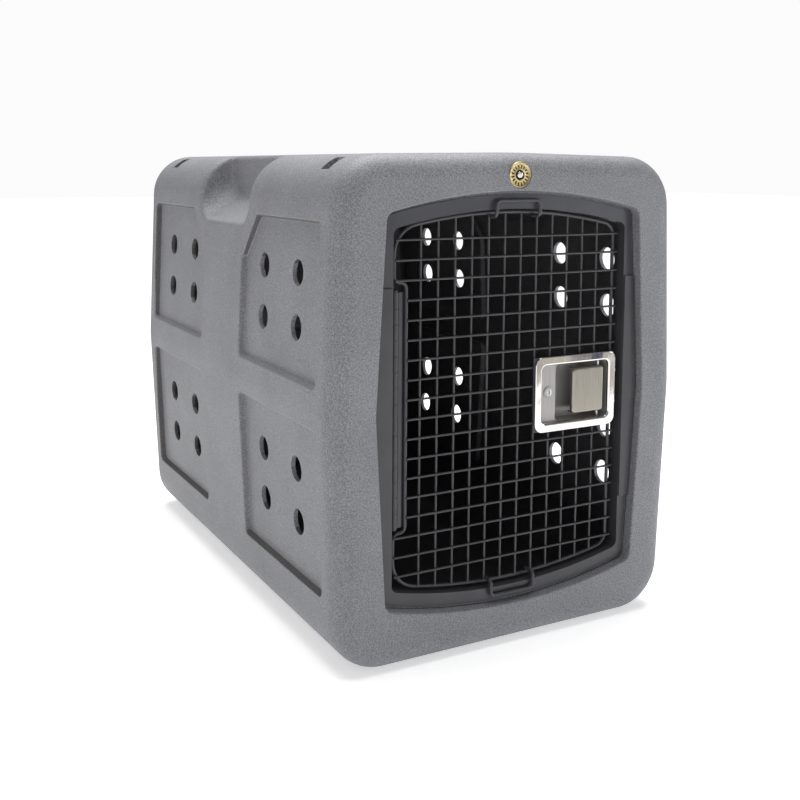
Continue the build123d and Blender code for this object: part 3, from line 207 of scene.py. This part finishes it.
def cabin_painted_shade_mask(s):
    """One on the shell's inner faces and nought outside, from where they are and which way they face; it
    marks where the painted cabin shade goes.
    """
    place = s.node("SeparateXYZ", Vector=s.place).outputs
    facing = s.node("SeparateXYZ", Vector=s.node("TexCoord").outputs["Normal"]).outputs
    lowest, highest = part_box("kennel_body")
    middle = (lowest + highest) / 2
    reach = (highest - lowest) / 2
    inwards = None
    for axis in range(3):
        offset = s.maths("SUBTRACT", place[axis], middle[axis])
        outwards = s.maths("MULTIPLY", offset, facing[axis])
        towards = s.maths("LESS_THAN", outwards, -CABIN_FACING * reach[axis])
        inwards = towards if inwards is None else s.maths("MAXIMUM", inwards, towards)
    inside = None
    for axis, skin in enumerate(CABIN_SKIN):
        distance = s.maths("ABSOLUTE", s.maths("SUBTRACT", place[axis], middle[axis]))
        within = s.maths("LESS_THAN", distance, reach[axis] - skin)
        inside = within if inside is None else s.maths("MULTIPLY", inside, within)
    return s.maths("MULTIPLY", inwards, inside)


def shell_plastic():
    """Speckled grey rotomoulded polyethylene with an orange-peel skin, and painted shade that darkens the
    inside of the cabin.
    """
    s = Shader("shell_plastic")
    fine = s.noise(1050.0, detail=2.0, roughness=0.6)
    coarse = s.noise(460.0, detail=3.0, roughness=0.7)
    cloud = s.noise(11.0, detail=3.0, roughness=0.5)
    pepper = s.ramp(
        fine, (0.36, (0.055, 0.056, 0.063)), (0.5, (0.190, 0.191, 0.205)), (0.64, (0.40, 0.405, 0.425)),
    )
    grain = s.ramp(
        coarse, (0.36, (0.105, 0.107, 0.118)), (0.5, (0.195, 0.197, 0.212)), (0.64, (0.32, 0.323, 0.34)),
    )
    speckle = s.blend(0.5, pepper, grain)
    tone = s.grey_ramp(cloud, (0.3, 0.92), (0.7, 1.06))
    outside = s.blend(1.0, speckle, tone, "MULTIPLY")
    # Painted shade: the cabin's inner faces are multiplied by a darker colour, standing in for the dimmer
    # light inside
    colour = s.blend(cabin_painted_shade_mask(s), outside, CABIN_PAINTED_SHADE, "MULTIPLY")
    height = s.maths("ADD", s.maths("MULTIPLY", coarse, 0.7), s.maths("MULTIPLY", fine, 0.3))
    rough = s.grey_ramp(coarse, (0.3, 0.50), (0.7, 0.64))
    normal = s.bump(height, strength=0.6, distance=0.0007)
    return s.finish(Base_Color=colour, Roughness=rough, Normal=normal)


def powder_coat():
    """Satin charcoal powder coat with a fine orange-peel texture."""
    s = Shader("powder_coat")
    peel = s.noise(1500.0, detail=2.0, roughness=0.5)
    cloud = s.noise(25.0, detail=3.0, roughness=0.5)
    colour = s.ramp(cloud, (0.3, (0.040, 0.040, 0.045)), (0.7, (0.052, 0.052, 0.059)))
    rough = s.grey_ramp(peel, (0.3, 0.34), (0.7, 0.46))
    normal = s.bump(peel, strength=0.25, distance=0.0002)
    return s.finish(Base_Color=colour, Roughness=rough, Normal=normal)


def polished_steel():
    """Stainless steel, polished and a little wavy on the latch flange, brushed and duller behind it."""
    s = Shader("polished_steel")
    wipes = s.noise(120.0, detail=3.0, roughness=0.6, place=s.stretched((1.0, 1.0, 0.15)))
    grain = s.noise(900.0, detail=4.0, roughness=0.7, place=s.stretched((1.0, 1.0, 0.03)))
    sway = s.noise(17.0, detail=1.0, roughness=0.5)
    depth = s.node("SeparateXYZ", Vector=s.place).outputs["Y"]
    dull = s.maths("GREATER_THAN", depth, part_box("latch_pan")[0][1] + POLISHED_DEPTH)
    bright = s.ramp(wipes, (0.3, (0.70, 0.68, 0.65)), (0.7, (0.80, 0.79, 0.77)))
    matt = s.ramp(grain, (0.3, (0.33, 0.315, 0.307)), (0.7, (0.44, 0.425, 0.415)))
    colour = s.blend(dull, bright, matt)
    shine = s.grey_ramp(wipes, (0.35, 0.06), (0.7, 0.14))
    haze = s.grey_ramp(grain, (0.3, 0.30), (0.7, 0.42))
    rough = s.blend(dull, shine, haze)
    swell = s.bump(sway, strength=1.0, distance=0.0022)
    metal = s.maths("SUBTRACT", 1.0, s.maths("MULTIPLY", dull, BRUSHED_LOSS))
    normal = s.bump(wipes, strength=0.05, distance=0.0002, normal=swell)
    return s.finish(Base_Color=colour, Metallic=metal, Roughness=rough, Normal=normal)


def brushed_steel():
    """Stainless steel brushed along its height."""
    s = Shader("brushed_steel")
    lines = s.noise(900.0, detail=4.0, roughness=0.7, place=s.stretched((1.0, 1.0, 0.02)))
    colour = s.ramp(lines, (0.3, (0.28, 0.26, 0.225)), (0.7, (0.375, 0.35, 0.305)))
    rough = s.grey_ramp(lines, (0.3, 0.26), (0.7, 0.38))
    normal = s.bump(lines, strength=0.15, distance=0.0001)
    return s.finish(Base_Color=colour, Metallic=1.0, Roughness=rough, Normal=normal)


def zinc_steel():
    """Zinc-plated steel with a slightly mottled sheen."""
    s = Shader("zinc_steel")
    mottle = s.noise(260.0, detail=4.0, roughness=0.6)
    colour = s.ramp(mottle, (0.3, (0.50, 0.50, 0.49)), (0.7, (0.68, 0.68, 0.67)))
    rough = s.grey_ramp(mottle, (0.3, 0.24), (0.7, 0.42))
    normal = s.bump(mottle, strength=0.06, distance=0.0001)
    return s.finish(Base_Color=colour, Metallic=1.0, Roughness=rough, Normal=normal)


def brass():
    """Stamped brass, darker and duller in its recesses."""
    s = Shader("brass")
    tarnish = s.noise(420.0, detail=4.0, roughness=0.65)
    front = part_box("medallion")[0][1]
    depth = s.node("SeparateXYZ", Vector=s.place).outputs["Y"]
    sunk = s.spread(depth, front + BADGE_FIELD, front + BADGE_GROOVE)
    bright = s.ramp(tarnish, (0.32, (0.40, 0.31, 0.14)), (0.66, (0.64, 0.54, 0.30)))
    colour = s.blend(sunk, bright, BADGE_TARNISH)
    rough = s.grey_ramp(tarnish, (0.3, 0.42), (0.7, 0.26))
    normal = s.bump(tarnish, strength=0.12, distance=0.0001)
    return s.finish(Base_Color=colour, Metallic=1.0, Roughness=rough, Normal=normal)


def rubber():
    """Matt black rubber with dust in its grain."""
    s = Shader("rubber")
    grain = s.noise(1400.0, detail=3.0, roughness=0.6)
    colour = s.ramp(grain, (0.35, (0.010, 0.010, 0.011)), (0.75, (0.030, 0.029, 0.028)))
    normal = s.bump(grain, strength=0.3, distance=0.0002)
    return s.finish(Base_Color=colour, Roughness=0.75, Normal=normal)


def dark_plastic():
    """Black moulded plastic with a light texture."""
    s = Shader("dark_plastic")
    grain = s.noise(1100.0, detail=2.0, roughness=0.5)
    colour = s.ramp(grain, (0.35, (0.016, 0.016, 0.018)), (0.7, (0.028, 0.028, 0.031)))
    normal = s.bump(grain, strength=0.3, distance=0.0002)
    return s.finish(Base_Color=colour, Roughness=0.48, Normal=normal)


FINISHES = {
    maker.__name__: maker()
    for maker in (
        shell_plastic, powder_coat, polished_steel, brushed_steel, zinc_steel, brass, rubber, dark_plastic,
    )
}


def dress_cad_nodes():
    """Give every CAD node the material that its record slot names."""
    for subpart in frame["record"]["subparts"]:
        node = frame["nodes"][subpart["node"]]
        node.data.materials.clear()
        node.data.materials.append(FINISHES[subpart["material_slot"]])


def make_badge():
    """Round badge with a rolled rim, a sunk middle round its rivet and plain radial marks in its field."""
    lowest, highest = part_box("medallion")
    middle = (lowest + highest) / 2
    around = BADGE_MARKS * BADGE_STEPS
    rings = len(BADGE_OUTLINE)
    places = []
    for step in range(around):
        turn = 2 * math.pi * step / around
        in_mark = step % BADGE_STEPS in BADGE_MARK_STEPS
        for radius, depth in BADGE_OUTLINE:
            pressed = in_mark and BADGE_GROOVE_FROM < radius < BADGE_GROOVE_TO
            x = middle[0] + radius * math.cos(turn)
            z = middle[2] + radius * math.sin(turn)
            places.append((x, lowest[1] + (BADGE_GROOVE if pressed else depth), z))
    faces = []
    for step in range(around):
        here = step * rings
        beyond = (step + 1) % around * rings
        for ring in range(rings):
            after = (ring + 1) % rings
            faces.append((here + ring, here + after, beyond + after, beyond + ring))
    mesh = bpy.data.meshes.new("badge")
    mesh.from_pydata(places, [], faces)
    mesh.shade_smooth()
    mesh.materials.append(FINISHES["brass"])
    badge = bpy.data.objects.new("badge", mesh)
    bpy.context.scene.collection.objects.link(badge)
    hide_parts("medallion")
    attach(badge, "kennel")


# ---------------------------------------------------------------- camera, light and floor


def make_camera():
    """Camera at the photograph's angle."""
    data = bpy.data.cameras.new("camera")
    data.lens = CAMERA_LENS
    data.sensor_width = SENSOR
    data.shift_y = CAMERA_SHIFT_Y
    data.clip_start, data.clip_end = CAMERA_CLIP
    camera = bpy.data.objects.new("camera", data)
    bpy.context.scene.collection.objects.link(camera)
    camera.location = CAMERA_PLACE
    camera.rotation_mode = "XYZ"
    look = Vector((
        math.sin(CAMERA_YAW) * math.cos(CAMERA_PITCH),
        math.cos(CAMERA_YAW) * math.cos(CAMERA_PITCH),
        -math.sin(CAMERA_PITCH),
    ))
    turn = look.to_track_quat("-Z", "Y") @ Euler((0.0, 0.0, CAMERA_ROLL)).to_quaternion()
    camera.rotation_euler = turn.to_euler()
    bpy.context.scene.camera = camera


def area_light(name, place, target, size, power, colour):
    """Soft square light at a place, turned towards a target."""
    data = bpy.data.lights.new(name, "AREA")
    data.shape = "RECTANGLE"
    data.size, data.size_y = size
    data.energy = power
    data.color = colour
    light = bpy.data.objects.new(name, data)
    bpy.context.scene.collection.objects.link(light)
    light.location = place
    light.rotation_euler = (Vector(target) - Vector(place)).to_track_quat("-Z", "Y").to_euler()


def make_surroundings():
    """White backdrop, with the dimmer front of the studio that shiny metal mirrors."""
    world = bpy.data.worlds.new("studio")
    world.use_nodes = True
    tree = world.node_tree
    nodes = tree.nodes
    background = nodes["Background"]
    direction = nodes.new("ShaderNodeTexCoord").outputs["Generated"]
    waves = nodes.new("ShaderNodeTexNoise")
    waves.inputs["Scale"].default_value = PATCH_SCALE
    waves.inputs["Detail"].default_value = 1.0
    tree.links.new(direction, waves.inputs["Vector"])
    patches = nodes.new("ShaderNodeValToRGB")
    for element, (position, colour) in zip(patches.color_ramp.elements, PATCH_STOPS):
        element.position = position
        element.color = colour
    tree.links.new(waves.outputs["Fac"], patches.inputs["Fac"])
    rays = nodes.new("ShaderNodeLightPath")
    choose = nodes.new("ShaderNodeMix")
    choose.data_type = "RGBA"
    tree.links.new(rays.outputs["Is Glossy Ray"], choose.inputs[0])
    choose.inputs[6].default_value = (*WHITE, 1.0)
    tree.links.new(patches.outputs["Color"], choose.inputs[7])
    tree.links.new(choose.outputs[2], background.inputs["Color"])
    strength = nodes.new("ShaderNodeMapRange")
    tree.links.new(rays.outputs["Is Camera Ray"], strength.inputs["Value"])
    strength.inputs["To Min"].default_value = STUDIO_LIGHT
    strength.inputs["To Max"].default_value = BACKDROP_LIGHT
    tree.links.new(strength.outputs["Result"], background.inputs["Strength"])
    bpy.context.scene.world = world


def make_stage_face(name, corners):
    """Object of one four-sided face, which isn't part of the carrier."""
    mesh = bpy.data.meshes.new(name)
    mesh.from_pydata(corners, [], [(0, 1, 2, 3)])
    made = bpy.data.objects.new(name, mesh)
    bpy.context.scene.collection.objects.link(made)
    return made


def make_card():
    """Blotchy card stood in front of the latch, seen only as a reflection in shiny metal."""
    x, y, z = CARD_PLACE
    width, height = CARD_SIZE[0] / 2, CARD_SIZE[1] / 2
    card = make_stage_face("mirror_card", [
        (x - width, y, z - height), (x + width, y, z - height),
        (x + width, y, z + height), (x - width, y, z + height),
    ])
    for rays in ("camera", "diffuse", "transmission", "volume_scatter", "shadow"):
        setattr(card, "visible_" + rays, False)
    s = Shader("mirror_card")
    glow = s.ramp(s.noise(CARD_BLOTCH_SCALE, detail=1.0, roughness=0.5), *CARD_STOPS)
    card.data.materials.append(s.finish(
        Base_Color=(0.0, 0.0, 0.0, 1.0), Roughness=1.0, Specular_IOR_Level=0.0,
        Emission_Color=glow, Emission_Strength=1.0,
    ))


def make_floor():
    """Pale floor with a glow that grows with distance, so that it stays white as far as the backdrop."""
    half = FLOOR_SIZE / 2
    floor = make_stage_face("floor", [(-half, -half, 0), (half, -half, 0), (half, half, 0), (-half, half, 0)])
    floor.location.z = -FLOOR_DROP
    s = Shader("floor")
    away = s.node("VectorMath", {"operation": "LENGTH"})
    s.join(s.place, away.inputs[0])
    glow = s.spread(away.outputs["Value"], *FLOOR_GLOW_SPAN, *FLOOR_GLOW)
    floor.data.materials.append(s.finish(
        Base_Color=FLOOR_COLOUR, Roughness=0.9, Emission_Color=(*WHITE, 1.0), Emission_Strength=glow,
    ))


def make_studio():
    """Pale floor, white surroundings and soft lights."""
    make_floor()
    make_card()
    make_surroundings()
    for light in LIGHTS:
        area_light(*light)


bpy.context.scene.view_settings.view_transform = "Standard"
make_camera()
make_studio()
dress_cad_nodes()
make_badge()
